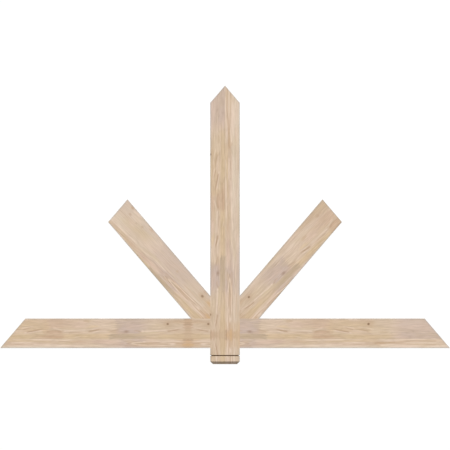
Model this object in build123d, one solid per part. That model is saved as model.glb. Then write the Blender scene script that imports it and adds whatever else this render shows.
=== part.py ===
from build123d import *
from math import atan2, degrees
import os

# Timber gable bracket: four planed timbers joined flush, fixed under the peak of a gable.
# It lies on its back. X runs along the tie beam, Y runs up the gable, +Z is the face that shows.
# The origin is on the back, where the centre lines of the king post and the tie beam cross.
# All sizes are millimetres.

# Overall form
bracket_width = 2133.6  # between the lower tips of the tie beam
roof_rise = 14.0  # the roof climbs this much ...
roof_run = 12.0  # ... over this much, and every outer end is cut along it
member_depth = 88.9  # back to front, the same for all timbers, so they finish flush

# Width of each timber, seen from the front
post_face = 139.7
beam_face = 139.7
brace_face = 139.7  # its centre line runs into the corner of post and tie beam

# Foot of the king post
foot_drop = 76.2  # underside of the tie beam to the end of the foot
cap_height = 38.1  # end of the foot to the lower edge of the groove
groove_height = 4.7625
groove_depth = 4.7625
foot_chamfer = 12.7

# Levels that follow from the sizes above
half_width = bracket_width / 2
post_side = post_face / 2
beam_top = beam_face / 2
foot_end = -beam_top - foot_drop
roof_slope = roof_rise / roof_run
roof_angle = degrees(atan2(roof_rise, roof_run))
peak = -beam_top + half_width * roof_slope
half_lap = member_depth / 2  # post and tie beam are each halved where they cross


def roof_height(x):
    """Level of the roof line at a distance from the centre line."""
    return peak - abs(x) * roof_slope


def timber(length, face, centre=(0, 0), turn=0):
    """A straight timber with its back on Z = 0, its length along X before it is turned."""
    blank = Box(length, face, member_depth, align=(Align.CENTER, Align.CENTER, Align.MIN))
    return Pos(*centre) * Rot(Z=turn) * blank


def under_roof():
    """The space below both roof lines, down past the foot: it trims every outer end."""
    eave = (peak - foot_end) / roof_slope
    outline = Polygon((0, peak), (-eave, foot_end), (eave, foot_end), align=None)
    return extrude(outline, member_depth)


def crossing(back, front):
    """The block where the post and the tie beam cross, between two depths."""
    block = Box(post_face, beam_face, front - back, align=(Align.CENTER, Align.CENTER, Align.MIN))
    return Pos(0, 0, back) * block


def foot_groove():
    """A square groove that runs round all four sides of the foot."""
    band = Box(post_face, groove_height, member_depth)
    core = Box(post_face - 2 * groove_depth, groove_height, member_depth - 2 * groove_depth)
    level = foot_end + cap_height + groove_height / 2
    return Pos(0, level, member_depth / 2) * (band - core)


def make_king_post():
    """The upright: pointed at the peak, halved behind for the tie beam, with a shaped foot."""
    length = peak - foot_end
    post = timber(length, post_face, centre=(0, foot_end + length / 2), turn=90)
    end_edges = post.faces().sort_by(Axis.Y)[0].edges()
    post = chamfer(end_edges, foot_chamfer)
    post -= foot_groove()
    post -= crossing(0, half_lap)
    return post & under_roof()


def make_tie_beam():
    """The level timber: one length from tip to tip, halved in front for the king post."""
    beam = timber(bracket_width, beam_face)
    beam -= crossing(half_lap, member_depth)
    return beam & under_roof()


def brace_bay():
    """The left bay: above the tie beam, beside the king post and below the roof line."""
    outer = (peak - beam_top) / roof_slope
    outline = Polygon(
        (-post_side, beam_top),
        (-post_side, roof_height(post_side)),
        (-outer, beam_top),
        align=None,
    )
    return extrude(outline, member_depth)


def make_left_brace():
    """The slanting timber of the left bay, parallel to the opposite roof line.

    Its centre line runs into the corner of post and tie beam, so its foot is cut in two
    planes: one butts the side of the post and one sits on the tie beam. Its upper end is
    cut along the roof line.
    """
    long_enough = 2 * bracket_width
    corner = (-post_side, beam_top)
    brace = timber(long_enough, brace_face, centre=corner, turn=-roof_angle)
    return brace & brace_bay()


def write(node, shape):
    """Writes one timber to its own file and prints its volume in litres."""
    export_step(shape, f"parts/{node}.step")
    print(node, round(shape.volume / 1e6, 3), "litres")


os.makedirs("parts", exist_ok=True)
left_brace = make_left_brace()
write("king_post", make_king_post())
write("tie_beam", make_tie_beam())
write("brace_left", left_brace)
write("brace_right", mirror(left_brace, about=Plane.YZ))
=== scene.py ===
import bpy
import bmesh
import math
from mathutils.bvhtree import BVHTree
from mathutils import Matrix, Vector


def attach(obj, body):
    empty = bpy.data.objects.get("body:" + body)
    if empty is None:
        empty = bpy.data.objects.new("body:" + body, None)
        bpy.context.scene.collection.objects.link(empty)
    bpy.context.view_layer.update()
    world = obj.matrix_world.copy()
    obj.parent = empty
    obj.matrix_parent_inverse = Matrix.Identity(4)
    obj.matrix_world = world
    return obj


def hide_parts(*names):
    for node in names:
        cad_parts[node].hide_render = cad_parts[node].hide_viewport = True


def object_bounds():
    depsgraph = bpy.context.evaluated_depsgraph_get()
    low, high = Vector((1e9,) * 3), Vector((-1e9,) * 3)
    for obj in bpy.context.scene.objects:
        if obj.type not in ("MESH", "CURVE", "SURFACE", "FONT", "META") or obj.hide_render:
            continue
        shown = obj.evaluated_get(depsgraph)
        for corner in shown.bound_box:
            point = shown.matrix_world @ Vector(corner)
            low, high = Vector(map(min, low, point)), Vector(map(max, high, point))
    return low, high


# Timber gable bracket in Douglas fir, lying on its back, seen square on from above.
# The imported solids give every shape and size; this script eases their edges and grows the wood.
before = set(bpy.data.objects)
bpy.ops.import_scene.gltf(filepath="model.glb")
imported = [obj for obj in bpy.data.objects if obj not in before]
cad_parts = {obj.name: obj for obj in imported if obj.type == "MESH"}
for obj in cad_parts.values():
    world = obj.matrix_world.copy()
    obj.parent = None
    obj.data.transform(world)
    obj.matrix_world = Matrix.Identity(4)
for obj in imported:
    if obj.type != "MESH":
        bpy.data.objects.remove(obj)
cadBox = [list(corner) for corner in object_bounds()]
print("frame loaded:", sorted(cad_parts))

millimetre = 0.001
perMetre = 1000.0
faceHeight = cadBox[1][2]  # from the back of the timbers to the face that shows, in metres
faceLevel = faceHeight * perMetre  # the same in millimetres


def srgb(red, green, blue):
    def linear(level):
        level /= 255
        return level / 12.92 if level <= 0.04045 else ((level + 0.055) / 1.055) ** 2.4
    return (linear(red), linear(green), linear(blue), 1.0)


class Wire:  # one output socket, so that shader maths reads as an expression
    def __init__(self, shader, socket):
        self.shader = shader
        self.socket = socket

    def __add__(self, other):
        return self.shader.maths("ADD", self, other)

    def __sub__(self, other):
        return self.shader.maths("SUBTRACT", self, other)

    def __rsub__(self, other):
        return self.shader.maths("SUBTRACT", other, self)

    def __mul__(self, other):
        return self.shader.maths("MULTIPLY", self, other)

    def __truediv__(self, other):
        return self.shader.maths("DIVIDE", self, other)

    def __pow__(self, other):
        return self.shader.maths("POWER", self, other)

    def __abs__(self):
        return self.shader.maths("ABSOLUTE", self)

    __radd__ = __add__
    __rmul__ = __mul__


class Shader:  # a material or world tree, with one method for every kind of node
    def __init__(self, tree):
        self.tree = tree
        self.tree.nodes.clear()

    def node(self, kind, settings=None, inputs=None, output=0):
        made = self.tree.nodes.new("ShaderNode" + kind)
        for name, value in (settings or {}).items():
            if name == "stops":
                self.setStops(made.color_ramp, value)
            else:
                setattr(made, name, value)
        for name, value in (inputs or {}).items():
            if isinstance(value, Wire):
                self.tree.links.new(value.socket, made.inputs[name])
            else:
                made.inputs[name].default_value = value
        return Wire(self, made.outputs[output]) if made.outputs else None

    def setStops(self, ramp, stops):
        while len(ramp.elements) < len(stops):
            ramp.elements.new(1.0)
        for element, (place, colour) in zip(ramp.elements, stops):
            element.position = place
            element.color = colour

    def maths(self, operation, *values):
        return self.node("Math", {"operation": operation}, dict(enumerate(values)))

    def vector(self, operation, first, second=None):
        inputs = {0: first} if second is None else {0: first, 1: second}
        output = "Value" if operation in ("DOT_PRODUCT", "LENGTH") else "Vector"
        return self.node("VectorMath", {"operation": operation}, inputs, output)

    def bundle(self, *parts):  # numbers as one vector
        return self.node("CombineXYZ", {}, dict(enumerate(parts)))

    def ramp(self, value, start, end, course="LINEAR"):  # 0 at start, 1 at end
        settings = {"interpolation_type": course, "clamp": False}
        return self.node("MapRange", settings, {0: value, 1: start, 2: end})

    def rise(self, value, start, end):  # the same, smooth and level outside the two
        return self.ramp(value, start, end, "SMOOTHSTEP")

    # A colour Mix node takes its factor at socket 0 and its colours at 6 and 7, and gives
    # its colour at 2.
    def mix(self, factor, first, second):
        settings = {"data_type": "RGBA", "blend_type": "MIX"}
        return self.node("Mix", settings, {0: factor, 6: first, 7: second}, 2)

    def shade(self, colour, level, tint):  # lightens or darkens a colour, each channel by its part
        settings = {"data_type": "RGBA", "blend_type": "MULTIPLY"}
        gains = self.bundle(*[level * part + 1 for part in tint])
        return self.node("Mix", settings, {0: 1.0, 6: colour, 7: gains}, 2)

    def noise(self, vector, detail, roughness):  # evenly about nought
        inputs = {"Vector": vector, "Scale": 1.0, "Detail": detail, "Roughness": roughness}
        return self.node("TexNoise", {"noise_dimensions": "3D"}, inputs) - 0.5


# Colours of planed, unfinished Douglas fir
wood = {
    "rose": srgb(212, 183, 162),
    "straw": srgb(214, 191, 155),
    "buff": srgb(216, 194, 170),
    "cream": srgb(222, 203, 181),
    "pale": srgb(230, 207, 186),
    "honey": srgb(214, 187, 153),
    "olive": srgb(190, 168, 145),
    "mauve": srgb(202, 180, 166),
    "tan": srgb(202, 174, 145),
    "umber": srgb(196, 165, 136),
    "orange": srgb(212, 176, 133),
    "latewood": srgb(186, 156, 128),
    "plum": srgb(180, 153, 136),
    "bark": srgb(126, 94, 66),
    # painted shade colour for the groove round the foot of the king post
    "cut": srgb(110, 74, 36),
}

# The board across its width: glued strips of different tone, in millimetres from the glue line
strips = {
    "halfWidth": 160,
    "tones": [
        (-110, srgb(214, 194, 174)),
        (-80, srgb(213, 191, 169)),
        (-36, srgb(218, 197, 175)),
        (-22, srgb(211, 186, 161)),
        (-14, srgb(211, 186, 161)),
        (-1.5, srgb(215, 191, 165)),
        (1, srgb(205, 181, 152)),
        (12, srgb(212, 187, 155)),
        (18, srgb(208, 183, 152)),
        (24, srgb(216, 192, 164)),
        (30, srgb(212, 188, 162)),
        (86, srgb(208, 184, 160)),
        (97, srgb(214, 192, 170)),
        (128, srgb(209, 185, 160)),
    ],
}

# Marks of the board. All are in millimetres: along the grain from the middle of the
# mirrored figure, then across it from the glue line.
figure = {
    # tone, strength, along from and to, soft ends, across from and to, soft edge
    "zones": [
        ("mauve", 0.90, 195, 340, 110, 24, 22, 100, 12),
        ("mauve", 0.75, 195, 325, 50, 70, -45, 0, 12),
        ("olive", 0.62, 205, 373, 60, 10, 0, 24, 5),
        ("pale", 0.35, 342, 470, 10, 90, 44, 100, 10),
        ("honey", 0.60, 15, 205, 20, 10, 1, 24, 3),
        ("honey", 0.60, 376, 592, 8, 10, 1, 22, 3),
        ("umber", 0.60, 594, 715, 8, 80, 1, 18, 5),
        ("umber", 0.70, 594, 668, 36, 20, 20, 38, 8),
        ("rose", 0.55, 490, 665, 60, 12, 50, 96, 12),
        ("tan", 0.42, 560, 664, 80, 10, 50, 120, 12),
        ("tan", 0.60, 669, 688, 8, 8, 28, 92, 12),
        ("tan", 0.30, 720, 850, 50, 50, 50, 92, 20),
        ("buff", 0.40, 850, 985, 50, 50, 24, 100, 10),
        ("buff", 0.45, 130, 212, 50, 70, 6, 100, 12),
        ("mauve", 0.35, 290, 450, 40, 60, -40, -4, 8),
        ("tan", 0.75, -20, 20, 4, 6, -100, 100, 6),
        ("umber", 0.60, -20, 20, 4, 7, 52, 100, 10),
        ("tan", 0.30, -20, 66, 4, 70, -110, 40, 6),
        ("mauve", 0.80, 990, 1300, 80, 40, 0, 110, 8),
        ("pale", 0.68, 895, 1300, 70, 40, -90, -30, 10),
        ("pale", 0.50, 330, 480, 50, 60, -110, -52, 12),
        ("cream", 0.75, 590, 1300, 60, 40, -75, -33, 10),
        ("tan", 0.55, 470, 690, 80, 40, 118, 142, 10),
        ("mauve", 0.50, 190, 420, 60, 80, -130, -52, 25),
        ("straw", 0.30, 470, 620, 60, 40, -100, -60, 20),
        ("tan", 0.35, 770, 885, 50, 30, -90, -58, 8),
        ("pale", 0.24, 300, 520, 40, 60, 86, 140, 16),
        ("honey", 0.50, 664, 880, 20, 40, 28, 92, 10),
        ("honey", 0.55, 745, 900, 40, 40, -15, 18, 6),
        ("pale", 0.22, 68, 138, 16, 16, 20, 46, 6),
        ("orange", 0.20, -20, 62, 4, 20, -95, 4, 6),
        ("pale", 0.16, 450, 592, 20, 12, 24, 110, 12),
        ("pale", 0.18, 965, 1300, 30, 40, 30, 100, 10),
        ("pale", 0.22, 975, 1300, 30, 40, -48, -8, 8),
    ],
    # tone, strength, place along and across, half length and half width
    "lenses": [
        ("umber", 0.55, 0, 82, 105, 12),
        ("orange", 0.95, 0, -26, 34, 12),
        ("orange", 0.75, 0, -11, 22, 10),
        ("tan", 0.75, 192, -23, 84, 8),
        ("olive", 0.55, 240, -22, 22, 6),
        ("olive", 0.48, 366, 3, 22, 7),
        ("olive", 0.55, 225, 7, 50, 7),
        ("olive", 0.45, 290, 12, 70, 6),
        ("pale", 0.40, 350, -11, 60, 8),
        ("rose", 0.60, 400, -14, 80, 9),
        ("umber", 0.70, 632, 9, 60, 8),
        ("umber", 0.85, 910, -20, 42, 8),
        ("umber", 0.66, 950, -18, 50, 4.5),
        ("pale", 0.90, 952, -8.5, 60, 7),
        ("pale", 1.00, 964, -31, 56, 8),
        ("pale", 0.90, 1080, -34, 190, 8),
        ("pale", 0.80, 1120, -19, 100, 6),
        ("pale", 0.70, 1040, -4, 160, 4),
        ("pale", 0.70, 575, -116, 45, 13),
        ("pale", 0.65, 77, -24, 15, 8),
        ("pale", 0.70, 437, 35, 24, 5),
        ("pale", 0.50, 398, -91, 24, 9),
        ("tan", 0.50, 623, 110, 14, 7),
        ("pale", 1.00, 584, -138, 27, 10),
        ("pale", 1.00, 583, -11, 34, 8),
        ("pale", 0.75, 952, -56, 38, 11),
        ("orange", 0.75, 34, -77, 44, 14),
        ("umber", 0.50, 100, -101, 22, 9),
        ("honey", 0.60, 454, 57, 34, 9),
        ("tan", 0.60, 482, 83, 22, 10),
        ("umber", 0.45, 499, -131, 20, 9),
        ("pale", 0.45, 522, 6, 20, 6),
        ("pale", 0.55, 193, 107, 24, 10),
        ("pale", 0.45, 301, 89, 22, 9),
        ("pale", 0.45, 158, 102, 26, 9),
        ("umber", 0.55, 681, 26, 14, 5),
        ("umber", 0.45, 657, 63, 13, 7),
        ("pale", 0.40, 143, 53, 24, 7),
        ("pale", 0.35, 927, 86, 26, 9),
        ("pale", 0.30, 636, -131, 14, 9),
        ("pale", 0.40, 575, -84, 26, 10),
        ("pale", 0.40, 578, -51, 26, 8),
        ("pale", 0.40, 117, -18, 26, 5),
        ("umber", 0.40, 278, -12, 24, 8),
        ("umber", 0.35, 126, 21, 18, 6),
        ("umber", 0.40, 251, -26, 18, 7),
        ("tan", 0.50, 906, -32, 16, 6),
        ("pale", 0.50, 706, -27, 18, 5),
        ("pale", 0.55, 1160, -2, 22, 8),
        ("pale", 0.50, 962, -27, 16, 4),
        ("pale", 0.40, 789, 88, 26, 8),
        ("pale", 0.28, 84, 23, 24, 5),
        ("pale", 0.35, 905, 23, 60, 4),
        ("honey", 0.60, 200, -32, 60, 4.5),
        ("umber", 0.35, 332, 29, 40, 8),
        ("pale", 0.45, 415, -115, 26, 9),
        ("pale", 0.80, 607, -133, 11, 7),
        ("pale", 1.00, 1122, -35, 28, 9),
    ],
    # tone, strength, start along and across, end along and across, bow, half width, fade in
    "lines": [
        ("pale", 0.55, 20, 56, 66, 46, -1, 6, 0.4),
        ("latewood", 0.83, 24, 51, 98, 35, -2, 5.5, 0.5),
        ("pale", 0.86, 96, 42, 222, 35, 0, 6.5, 0.1),
        ("straw", 0.55, 100, 30, 230, 28, 0, 5, 0.2),
        ("latewood", 0.46, 214, 25, 258, 37, 5, 6.0, 0.3),
        ("latewood", 0.50, 318, 41, 374, 32, 3, 6, 0.3),
        ("pale", 0.50, 376, 36, 456, 29, 2, 8, 0.2),
        ("pale", 0.66, 396, 55, 484, 41, 0, 6, 0.5),
        ("latewood", 0.83, 404, 51, 474, 34, -2, 6.0, 0.5),
        ("pale", 1.00, 478, 42, 590, 37, 0, 6.5, 0.1),
        ("latewood", 0.55, 488, 31, 568, 29, 0, 4, 0.4),
        ("pale", 0.40, 588, 36, 640, 49, 2, 5, 0.3),
        ("latewood", 0.77, 593, 31, 672, 31, 6, 7, 0.22),
        ("pale", 0.72, 684, 40, 778, 27, 0, 6.5, 0.2),
        ("latewood", 0.88, 674, 48, 766, 31, 1, 5.5, 0.4),
        ("pale", 0.44, 730, 58, 790, 50, 0, 5, 0.2),
        ("latewood", 0.66, 735, 54, 786, 42, 0, 5.5, 0.5),
        ("pale", 0.55, 762, 38, 850, 31, 2, 6, 0.3),
        ("latewood", 0.52, 778, 45, 858, 34, 4, 5, 0.5),
        ("pale", 0.44, 800, 55, 880, 45, 3, 5, 0.2),
        ("tan", 0.39, 900, 32, 950, 31, 0, 5, 0.3),
        ("pale", 0.36, 860, 39.5, 975, 39, 0, 3.5, 0.1),
        ("plum", 0.24, 1040, 35, 1150, 34, 3, 6.5, 0.3),
        ("tan", 0.55, 0, 75, 75, 77, 0, 5, 0.1),
        ("pale", 0.94, 14, -13, 272, -21, 6, 5.5, 0.15),
        ("latewood", 0.60, 120, -18.5, 250, -19, 1, 3, 0.2),
        ("latewood", 0.61, 75, -26.5, 238, -26, 0, 3, 0.2),
        ("pale", 0.77, 50, -29.5, 268, -24, -4, 4.5, 0.1),
        ("latewood", 0.55, 212, -9, 292, -22, 3, 4.5, 0.4),
        ("umber", 0.45, -60, -35, 290, -25, -6, 4.0, 0.05),
        ("pale", 0.39, 225, -7, 306, -23, 4, 4, 0.3),
        ("pale", 0.39, 10, -41, 150, -41, 0, 4.5, 0.1),
        ("pale", 0.22, 235, -39, 306, -26, -3, 4, 0.3),
        ("bark", 0.46, -30, -5, 26, -5, 0, 6.0, 0.01),
        ("latewood", 0.40, -80, -17, 60, -20, 0, 3.5, 0.01),
        ("bark", 0.22, -20, 73, 18, 71, 0, 8.0, 0.01),
        ("bark", 0.07, -20, 50, 20, 46, 0, 9.0, 0.01),
        ("latewood", 0.34, 20, -23, 60, -23, 0, 4.5, 0.1),
        ("plum", 0.24, 290, -22, 425, -31, -3, 5.5, 0.2),
        ("pale", 0.44, 292, -38, 425, -34, -4, 5, 0.2),
        ("umber", 0.66, 470, -11, 616, -12, -1, 5.0, 0.3),
        ("latewood", 0.50, 225, -35, 302, -32, 0, 4.5, 0.3),
        ("pale", 0.39, 376, -33, 470, -34, 0, 6, 0.2),
        ("honey", 0.62, 640, -15, 850, -9, 2, 6, 0.1),
        ("pale", 0.99, 490, -33, 735, -27, -1, 7, 0.3),
        ("pale", 0.77, 716, -31, 860, -33, 0, 6, 0.2),
        ("pale", 0.66, 590, -5, 832, -4, 0, 5, 0.15),
        ("pale", 0.66, 700, -19, 840, -21, 1, 5.5, 0.5),
        ("umber", 0.35, 745, -28, 900, -25, -2, 5.0, 0.4),
        ("umber", 0.55, 950, -17, 1180, -10, 2, 5.5, 0.01),
        ("umber", 0.42, 950, -18, 1180, -27, -2, 5.5, 0.01),
        ("tan", 0.45, 905, -48, 985, -50, 0, 5, 0.3),
        ("tan", 0.50, 60, -52, 200, -55, 0, 5, 0.3),
        ("tan", 0.40, 62, -8, 205, -11.5, 0, 3.0, 0.2),
    ],
    # tone, strength, place along and across, half length and half width, depth below the face
    "knots": [
        ("tan", 0.50, 97, 70, 26, 16, 30),
        ("bark", 0.78, 96, 70, 7.0, 6.0, 20),
        ("tan", 0.60, 860, 70, 26, 16, 30),
        ("bark", 0.88, 856, 70, 7.5, 6.5, 20),
        ("tan", 0.60, 98, -77, 28, 18, 30),
        ("bark", 0.66, 98, -78, 9.0, 7.0, 20),
        ("plum", 0.80, 292, 34, 16, 9, 30),
        ("bark", 0.16, 293, 34, 7, 6, 30),
        ("tan", 0.60, 265, -77, 8, 6, 20),
        ("latewood", 0.45, 599, 112, 12, 9, 20),
        ("latewood", 0.45, 614, -111, 10, 7, 20),
        ("latewood", 0.40, 531, -109, 9, 6, 20),
        ("latewood", 0.30, 564, -101, 7, 5, 20),
        ("umber", 0.75, 628, -140, 11, 8, 20),
    ],
}

# Streaks along the grain: length and width in millimetres, then how many octaves of finer noise
# they hold and how strong those are
streaks = {
    "drift": (170, 45, 2, 0.5),
    "broad": (190, 12, 3, 0.6),
    "fine": (68, 4.7, 3, 0.6),
    "fibre": (28, 0.9, 2, 0.5),
    "cloud": (120, 38, 2, 0.5),
}

# How much the streaks show and how they bend and fray the marks, in millimetres
texture = {
    "broadShow": 0.26,
    "fineShow": 0.52,
    "fibreShow": 0.10,
    "cloudShow": 0.14,
    "cloudTint": 1.5,
    "tint": (0.9, 1.0, 1.12),  # a darker streak is also warmer
    "lively": 1.15,  # all streaks times this, less in the clear wood:
    "calm": (-36, -62, 0.54),  # they calm down between these places across, by this
    "driftShift": 6.0,
    "waver": (3.0, 0.6),  # no mark is quite straight, along or across the grain
    "fray": 60,  # how raggedly a tone ends along the grain
    "patchy": 1.6,  # how unevenly a zone or lens shows
    "lensEdge": (1.2, 0.3),  # a lens or knot fades between these shares of its size
    "lineCore": 0.1,  # the share of a line's width that is at full strength
    "lineTail": (4, 8),  # a line fades between these distances past its end and before it
    "markDepth": (18, 45),  # marks of the face fade between these depths
    "zoneDepth": 0.3,  # but this share of a zone goes right through
}

# Growth rings round a pith that lies below the face, in millimetres
rings = {
    "pith": (12, 185),  # across and down
    "width": 3.4,
    "bend": 22,
    "sharp": 3.0,  # how narrow the dark part of a ring is
    "middle": 0.3,  # keeps the mean tone
    "show": (0.07, 0.20),  # on the face and deeper in the wood
}

# The surface as it was planed and sawn
surface = {
    "endGrain": (0.45, 0.75),  # how far a surface turns to the grain before it shows end grain
    "endTone": 0.80,
    "roughness": 0.62,
    "fineRoughness": 0.3,
    "endRoughness": 0.15,
    "specular": 0.3,
    "grainHeight": 0.00012,
    "grainStrength": 0.6,
    "fineHeight": 0.5,
    "fibreHeight": 0.5,
}


def newGroup(name, inputs, outputs):  # an empty node group, its shader and its input wires
    tree = bpy.data.node_groups.new(name, "ShaderNodeTree")
    shader = Shader(tree)
    for label in inputs:
        tree.interface.new_socket(label, in_out="INPUT", socket_type="NodeSocketFloat")
    for label, kind in outputs.items():
        tree.interface.new_socket(label, in_out="OUTPUT", socket_type="NodeSocket" + kind)
    entry = tree.nodes.new("NodeGroupInput")
    return tree, shader, [Wire(shader, entry.outputs[index]) for index in range(len(inputs))]


def closeGroup(tree, results):
    leave = tree.nodes.new("NodeGroupOutput")
    for index, result in enumerate(results):
        tree.links.new(result.socket, leave.inputs[index])
    return tree


def maskGroup(name, inputs, recipe):  # a mask that is built once and used for many marks
    tree, shader, wires = newGroup(name, inputs.split(), {"Mask": "Float"})
    return closeGroup(tree, [recipe(shader, *wires)])


def useMask(shader, tree, *values):
    return shader.node("Group", {"node_tree": tree}, dict(enumerate(values)))


def zoneMask(shader, along, across, start, end, softStart, softEnd, low, high, soft):
    lengthwise = shader.rise(along, start - softStart / 2, start + softStart / 2)
    lengthwise *= shader.rise(along, end + softEnd / 2, end - softEnd / 2)
    crosswise = shader.rise(across, low - soft / 2, low + soft / 2)
    crosswise *= shader.rise(across, high + soft / 2, high - soft / 2)
    return lengthwise * crosswise


def lensMask(shader, along, across, depth, x, y, length, width, deep):
    place = shader.bundle((along - x) / length, (across - y) / width, depth / deep)
    return shader.rise(shader.vector("LENGTH", place), *texture["lensEdge"])


def lineMask(shader, along, across, start, low, end, high, bow, halfWidth, fade):
    part = shader.ramp(along, start, end)
    part = shader.maths("MAXIMUM", shader.maths("MINIMUM", part, 1.0), 0.0)
    course = part * (part * (-4 * bow) + (high - low + 4 * bow)) + low
    near = shader.rise(abs(across - course), halfWidth, texture["lineCore"] * halfWidth)
    fadeIn = shader.rise(part, 0.0, fade)
    past, before = texture["lineTail"]
    return near * fadeIn * shader.rise(along, end + past, end - before)


def streak(shader, kind, along, across, depth):
    length, width, octaves, strength = streaks[kind]
    place = shader.bundle(along / length, across / width, depth / width)
    return shader.noise(place, octaves, strength)


def growthRings(shader, across, depth, drift, onFace):
    pithAcross, pithDown = rings["pith"]
    offset = shader.bundle(across - pithAcross, depth - pithDown)
    radius = shader.vector("LENGTH", offset) + drift * rings["bend"]
    turn = radius * (2 * math.pi / rings["width"])
    ring = (shader.maths("SINE", turn) * 0.5 + 0.5) ** rings["sharp"] - rings["middle"]
    faceShow, deepShow = rings["show"]
    return ring * (deepShow - onFace * (deepShow - faceShow))


def growBoard():  # the whole board as one node group: along, across, depth and end facing in
    zone = maskGroup("zone", "Along Across Start End SoftStart SoftEnd Low High Soft", zoneMask)
    lens = maskGroup("lens", "Along Across Depth X Y Length Width Deep", lensMask)
    line = maskGroup("line", "Along Across Start Low End High Bow HalfWidth Fade", lineMask)
    inputs = ("Along", "Across", "Depth", "EndFacing")
    outputs = {"Colour": "Color", "Roughness": "Float", "Height": "Float"}
    board, shader, (along, across, depth, facing) = newGroup("douglasFirBoard", inputs, outputs)
    along = abs(along)

    drift = streak(shader, "drift", along, across, depth)
    wander = across + drift * texture["driftShift"]
    broad = streak(shader, "broad", along, wander, depth)
    fine = streak(shader, "fine", along, wander, depth)
    fibre = streak(shader, "fibre", along, wander, depth)
    cloud = streak(shader, "cloud", along, wander, depth)
    alongWaver, acrossWaver = texture["waver"]
    along += fine * alongWaver
    across += fine * acrossWaver
    frayed = along + (broad + fine) * texture["fray"]

    half = strips["halfWidth"]
    stops = [((place + half) / (2 * half), tone) for place, tone in strips["tones"]]
    colour = shader.node("ValToRGB", {"stops": stops}, {0: shader.ramp(across, -half, half)})

    full, gone = texture["markDepth"]
    onFace = shader.rise(depth, gone, full)
    patchy = broad * texture["patchy"] + 1
    patchyFace = patchy * onFace
    through = texture["zoneDepth"]
    patchyDeep = patchy * (onFace * (1 - through) + through)
    for tone, strength, *limits in figure["zones"]:
        mask = useMask(shader, zone, frayed, across, *limits)
        colour = shader.mix(mask * patchyDeep * strength, colour, wood[tone])
    for tone, strength, *shape in figure["lenses"]:
        mask = useMask(shader, lens, frayed, wander, 0.0, *shape, 1.0)
        colour = shader.mix(mask * patchyFace * strength, colour, wood[tone])
    for tone, strength, *course in figure["lines"]:
        mask = useMask(shader, line, along, wander, *course)
        colour = shader.mix(mask * onFace * strength, colour, wood[tone])
    colour = shader.mix(cloud * texture["cloudTint"], colour, wood["rose"])
    colour = shader.mix(cloud * -texture["cloudTint"], colour, wood["straw"])

    calmFrom, calmTo, calmer = texture["calm"]
    lively = texture["lively"] - shader.rise(across, calmFrom, calmTo) * calmer
    level = (broad * texture["broadShow"] + fine * texture["fineShow"]) * lively
    level += fibre * texture["fibreShow"] + cloud * texture["cloudShow"]
    level -= growthRings(shader, wander, depth, drift, onFace)
    endGrain = shader.rise(facing, *surface["endGrain"])
    level -= endGrain * (1 - surface["endTone"])
    colour = shader.shade(colour, level, texture["tint"])
    for tone, strength, *shape in figure["knots"]:
        mask = useMask(shader, lens, along, across, depth, *shape)
        colour = shader.mix(mask * strength, colour, wood[tone])

    roughness = fine * surface["fineRoughness"] + surface["roughness"]
    roughness += endGrain * surface["endRoughness"]
    height = fibre * surface["fibreHeight"] + fine * surface["fineHeight"]
    return closeGroup(board, (colour, roughness, height))


# How each timber was cut from its board. along and across are directions on the bracket that
# the grain follows, and start and line shift them, in millimetres, to the board's own marks.
# side is the direction across the timber itself, on the right half of the bracket, and middle
# is where its centre line lies that way, in millimetres.
grainSlope = math.radians(45)  # of the braces
leftward, upward = -math.cos(grainSlope), math.sin(grainSlope)
roofSlope = 14 / 12
steepness = math.hypot(roofSlope, 1)
acrossBrace = (roofSlope / steepness, -1 / steepness, 0)
timbers = {
    "king_post": {
        "along": (0, 1), "across": (-1, 0), "start": 7.8, "line": 0.0,
        "side": (1, 0, 0), "middle": 0,
    },
    "tie_beam": {
        "along": (1, 0), "across": (0, 1), "start": 175.4, "line": 25.85,
        "side": (0, 1, 0), "middle": 0,
    },
    "brace_left": {
        "along": (leftward, upward), "across": (leftward, -upward), "start": -102.4, "line": -29.6,
        "side": acrossBrace, "middle": 7.58,
    },
    "brace_right": {
        "along": (-leftward, upward), "across": (leftward, upward), "start": -105.3, "line": 28.6,
        "side": acrossBrace, "middle": 7.58,
    },
}

# Painted shade in the groove round the foot of the king post, in millimetres: the recess is
# darkened in its colour to stand in for the shade that falls in it
groove = {
    "level": -105.57,
    "halfHeight": 2.38,
    "spill": (0.7, 0.1),  # the dark fades between these distances past the cut
    "halfFace": 69.85,
    "sunk": (0.3, 1.6),  # and sets in between these depths below the faces of the foot
    "show": 0.85,
}


def grooveShadeMask(shader, place):
    aside = shader.vector("DOT_PRODUCT", place, (1, 0, 0))
    level = shader.vector("DOT_PRODUCT", place, (0, 1, 0))
    height = shader.vector("DOT_PRODUCT", place, (0, 0, 1))
    sunk = shader.maths("MINIMUM", height, groove["halfFace"] - abs(aside))
    sunk = shader.maths("MINIMUM", sunk, faceLevel - height)
    outer, inner = [groove["halfHeight"] + past for past in groove["spill"]]
    near = shader.rise(abs(level - groove["level"]), outer, inner)
    return near * shader.rise(sunk, *groove["sunk"]) * groove["show"]


# Painted shade along the free edges of the timbers: a thin band a little darker and greyer,
# standing in for shade on the eased arrises, except where two timbers meet flush. In millimetres.
arris = {
    "width": 8.0,
    "show": 0.11,
    "tint": (1.6, 1.0, 0.2),
    "halfFace": 69.85,
    "peak": 1174.75,
    "postJoint": (53.7, 127, 121),  # its middle up the post, and where it ends either way
    "beamJoint": (46, 119, 113),  # the same along the beam, this far longer above than below
    "wellAway": 100,  # a flush side counts as this much further off
}


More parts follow.
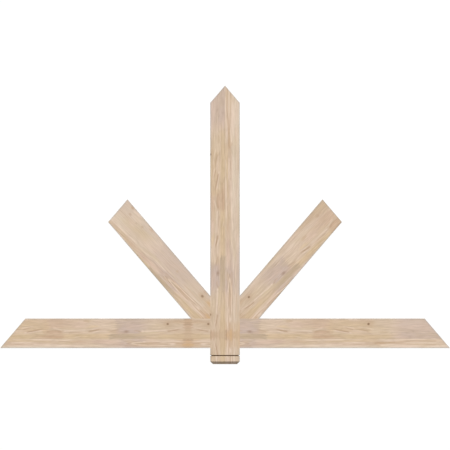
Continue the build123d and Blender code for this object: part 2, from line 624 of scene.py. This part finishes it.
def arrisShadeMask(shader, name, place, depth):
    reach = abs(shader.vector("DOT_PRODUCT", place, (1, 0, 0)))
    level = shader.vector("DOT_PRODUCT", place, (0, 1, 0))
    onRight = shader.bundle(reach, level)
    across = shader.vector("DOT_PRODUCT", onRight, timbers[name]["side"])
    side = arris["halfFace"] - abs(across - timbers[name]["middle"])
    if name == "king_post":
        middle, *ends = arris["postJoint"]
        side += shader.rise(abs(level - middle), *ends) * arris["wellAway"]
    if name == "tie_beam":
        shift, *ends = arris["beamJoint"]
        shifted = reach - shader.maths("SIGN", level) * shift
        side += shader.rise(shifted, *ends) * arris["wellAway"]
    roof = (arris["peak"] - level - reach * roofSlope) / steepness
    outline = shader.maths("MINIMUM", side, roof)
    through = shader.maths("MINIMUM", depth, faceLevel - depth)
    return shader.rise(shader.maths("MAXIMUM", outline, through), arris["width"], 0.0)


def douglasFir(name, timber, board):
    made = bpy.data.materials.new("douglasFir_" + name)
    made.use_nodes = True
    shader = Shader(made.node_tree)
    place = shader.node("TexCoord", output="Object")
    scaled = shader.node("VectorMath", {"operation": "SCALE"}, {0: place, "Scale": perMetre})
    grain = (*timber["along"], 0)
    along = shader.vector("DOT_PRODUCT", scaled, grain) + timber["start"]
    across = shader.vector("DOT_PRODUCT", scaled, (*timber["across"], 0)) + timber["line"]
    depth = faceLevel - shader.vector("DOT_PRODUCT", scaled, (0, 0, 1))
    normal = shader.node("TexCoord", output="Normal")
    facing = abs(shader.vector("DOT_PRODUCT", normal, grain))
    cut = {"Along": along, "Across": across, "Depth": depth, "EndFacing": facing}
    colour = shader.node("Group", {"node_tree": board}, cut, "Colour")
    grown = colour.socket.node.outputs
    roughness, height = Wire(shader, grown["Roughness"]), Wire(shader, grown["Height"])
    # painted shade along the free edges, a little darker and greyer
    rimShade = arrisShadeMask(shader, name, scaled, depth) * -arris["show"]
    colour = shader.shade(colour, rimShade, arris["tint"])
    # painted shade in the groove round the foot of the king post
    if name == "king_post":
        colour = shader.mix(grooveShadeMask(shader, scaled), colour, wood["cut"])
    raised = {
        "Height": height,
        "Distance": surface["grainHeight"],
        "Strength": surface["grainStrength"],
    }
    planed = {
        "Base Color": colour,
        "Roughness": roughness,
        "Specular IOR Level": surface["specular"],
        "Normal": shader.node("Bump", {}, raised),
    }
    shader.node("OutputMaterial", {}, {0: shader.node("BsdfPrincipled", {}, planed)})
    return made


# The sharp edges that a hand meets are eased. Edges that lie in a joint stay sharp and closed.
easing = {
    "width": 0.9 * millimetre,
    "segments": 2,
    "sharp": math.radians(20),
    "contact": 0.05 * millimetre,
    "shortest": 2.0 * millimetre,
    "merge": 0.001 * millimetre,
    "flat": math.radians(0.5),
}


def solidOf(node):  # a copy of a CAD node's mesh, merged and with whole flat faces
    solid = bmesh.new()
    solid.from_mesh(node.data)
    bmesh.ops.remove_doubles(solid, verts=solid.verts, dist=easing["merge"])
    bmesh.ops.dissolve_limit(
        solid, angle_limit=easing["flat"], verts=solid.verts, edges=solid.edges,
    )
    return solid


def planesOf(solid):
    return [(face.calc_center_median(), face.normal.copy()) for face in solid.faces]


def touches(place, neighbours):
    return any(tree.find_nearest(place)[3] < easing["contact"] for planes, tree in neighbours)


def jointCut(edge, neighbours):  # where along a sharp edge a joint begins or ends, or None
    start, end = (corner.co for corner in edge.verts)
    margin = easing["shortest"] / (end - start).length
    for planes, tree in neighbours:
        for point, normal in planes:
            near, far = (start - point).dot(normal), (end - point).dot(normal)
            if near * far >= 0:
                continue
            part = near / (near - far)
            inside = margin < part < 1 - margin
            if inside and tree.find_nearest(start.lerp(end, part))[3] < easing["contact"]:
                return part
    return None


def isSharp(edge):
    return edge.is_manifold and edge.is_convex and edge.calc_face_angle() > easing["sharp"]


def easedTimber(name, solids):
    others = [other for key, other in solids.items() if key != name]
    neighbours = [(planesOf(other), BVHTree.FromBMesh(other)) for other in others]
    solid = solids[name].copy()
    waiting = [edge for edge in solid.edges if isSharp(edge)]
    while waiting:
        edge = waiting.pop()
        part = jointCut(edge, neighbours)
        if part is not None:
            waiting += [edge, bmesh.utils.edge_split(edge, edge.verts[0], part)[0]]
    free = []
    for edge in solid.edges:
        middle = (edge.verts[0].co + edge.verts[1].co) / 2
        if isSharp(edge) and not touches(middle, neighbours):
            free.append(edge)
    bmesh.ops.bevel(
        solid, geom=free, offset=easing["width"], segments=easing["segments"],
        profile=0.5, affect="EDGES", clamp_overlap=True, material=-1,
    )
    data = bpy.data.meshes.new(name + "Eased")
    solid.to_mesh(data)
    solid.free()
    timber = bpy.data.objects.new(name + "Eased", data)
    bpy.context.scene.collection.objects.link(timber)
    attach(timber, "root")
    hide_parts(name)
    print(name, "has", len(free), "eased edges")
    return timber


board = growBoard()
solids = {name: solidOf(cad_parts[name]) for name in timbers}
for name, timber in timbers.items():
    easedTimber(name, solids).data.materials.append(douglasFir(name, timber, board))
print("wood grown on", len(timbers), "timbers")


# Studio: a white floor that keeps a faint shadow, a soft sun and an even sky
studio = {
    "floorSize": 40.0,
    "floorGap": 0.0003,  # so that floor and back don't lie in one plane
    "floorTone": 0.80,  # what light bounces back to the timber
    "floorWhite": 1.03,  # what the camera sees, just past white
    "shadowShow": 0.03,  # and how much of that the shadow takes away
    "skyLevel": 0.28,
    "sunLevel": 3.05,
    "sunSoftness": 36,
    "sunTilt": 46,  # degrees from straight above, towards the peak
    "lens": 1000.0,
    "sensor": 36.0,
    "viewWidth": 2.1336,
    "viewCentre": (0.0, 0.5137),
    "viewFar": 120.0,
}


def seenDirectly(shader):  # 1 for what the camera, a reflection or a clear body sees
    rays = ("Is Camera Ray", "Is Glossy Ray", "Is Transmission Ray")
    direct, mirrored, through = [shader.node("LightPath", output=ray) for ray in rays]
    return shader.maths("MAXIMUM", direct, shader.maths("MAXIMUM", mirrored, through))


def makeFloor():
    mesh = bmesh.new()
    bmesh.ops.create_grid(mesh, x_segments=1, y_segments=1, size=studio["floorSize"] / 2)
    data = bpy.data.meshes.new("floor")
    mesh.to_mesh(data)
    mesh.free()
    floor = bpy.data.objects.new("floor", data)
    floor.location.z = -studio["floorGap"]
    bpy.context.scene.collection.objects.link(floor)
    paper = bpy.data.materials.new("whitePaper")
    paper.use_nodes = True
    shader = Shader(paper.node_tree)
    show = studio["shadowShow"]
    shadow = shader.node("BsdfDiffuse", {}, {"Color": (show, show, show, 1.0)})
    glowing = {"Color": (1, 1, 1, 1), "Strength": studio["floorWhite"] - show}
    glow = shader.node("Emission", {}, glowing)
    white = shader.node("AddShader", {}, {0: shadow, 1: glow})
    tone = studio["floorTone"]
    pale = shader.node("BsdfDiffuse", {}, {"Color": (tone, tone, tone, 1.0)})
    both = shader.node("MixShader", {}, {0: seenDirectly(shader), 1: pale, 2: white})
    shader.node("OutputMaterial", {}, {0: both})
    data.materials.append(paper)


def makeLight():
    sun = bpy.data.lights.new("sun", "SUN")
    sun.energy = studio["sunLevel"]
    sun.angle = math.radians(studio["sunSoftness"])
    lamp = bpy.data.objects.new("sun", sun)
    lamp.rotation_euler = (-math.radians(studio["sunTilt"]), 0, 0)
    bpy.context.scene.collection.objects.link(lamp)
    world = bpy.data.worlds.new("sky")
    world.use_nodes = True
    bpy.context.scene.world = world
    shader = Shader(world.node_tree)
    level = studio["skyLevel"]
    sky = shader.node("Background", {}, {"Color": (level, level, level, 1), "Strength": 1.0})
    white = shader.node("Background", {}, {"Color": (1, 1, 1, 1), "Strength": 1.0})
    both = shader.node("MixShader", {}, {0: seenDirectly(shader), 1: sky, 2: white})
    shader.node("OutputWorld", {}, {0: both})


def makeCamera():
    camera = bpy.data.cameras.new("camera")
    camera.lens = studio["lens"]
    camera.sensor_width = studio["sensor"]
    camera.clip_end = studio["viewFar"]
    distance = studio["viewWidth"] * studio["lens"] / studio["sensor"]
    held = bpy.data.objects.new("camera", camera)
    held.location = (*studio["viewCentre"], faceHeight + distance)
    bpy.context.scene.collection.objects.link(held)
    bpy.context.scene.camera = held


makeFloor()
makeLight()
makeCamera()
bpy.context.scene.view_settings.view_transform = "Standard"
print("studio ready")
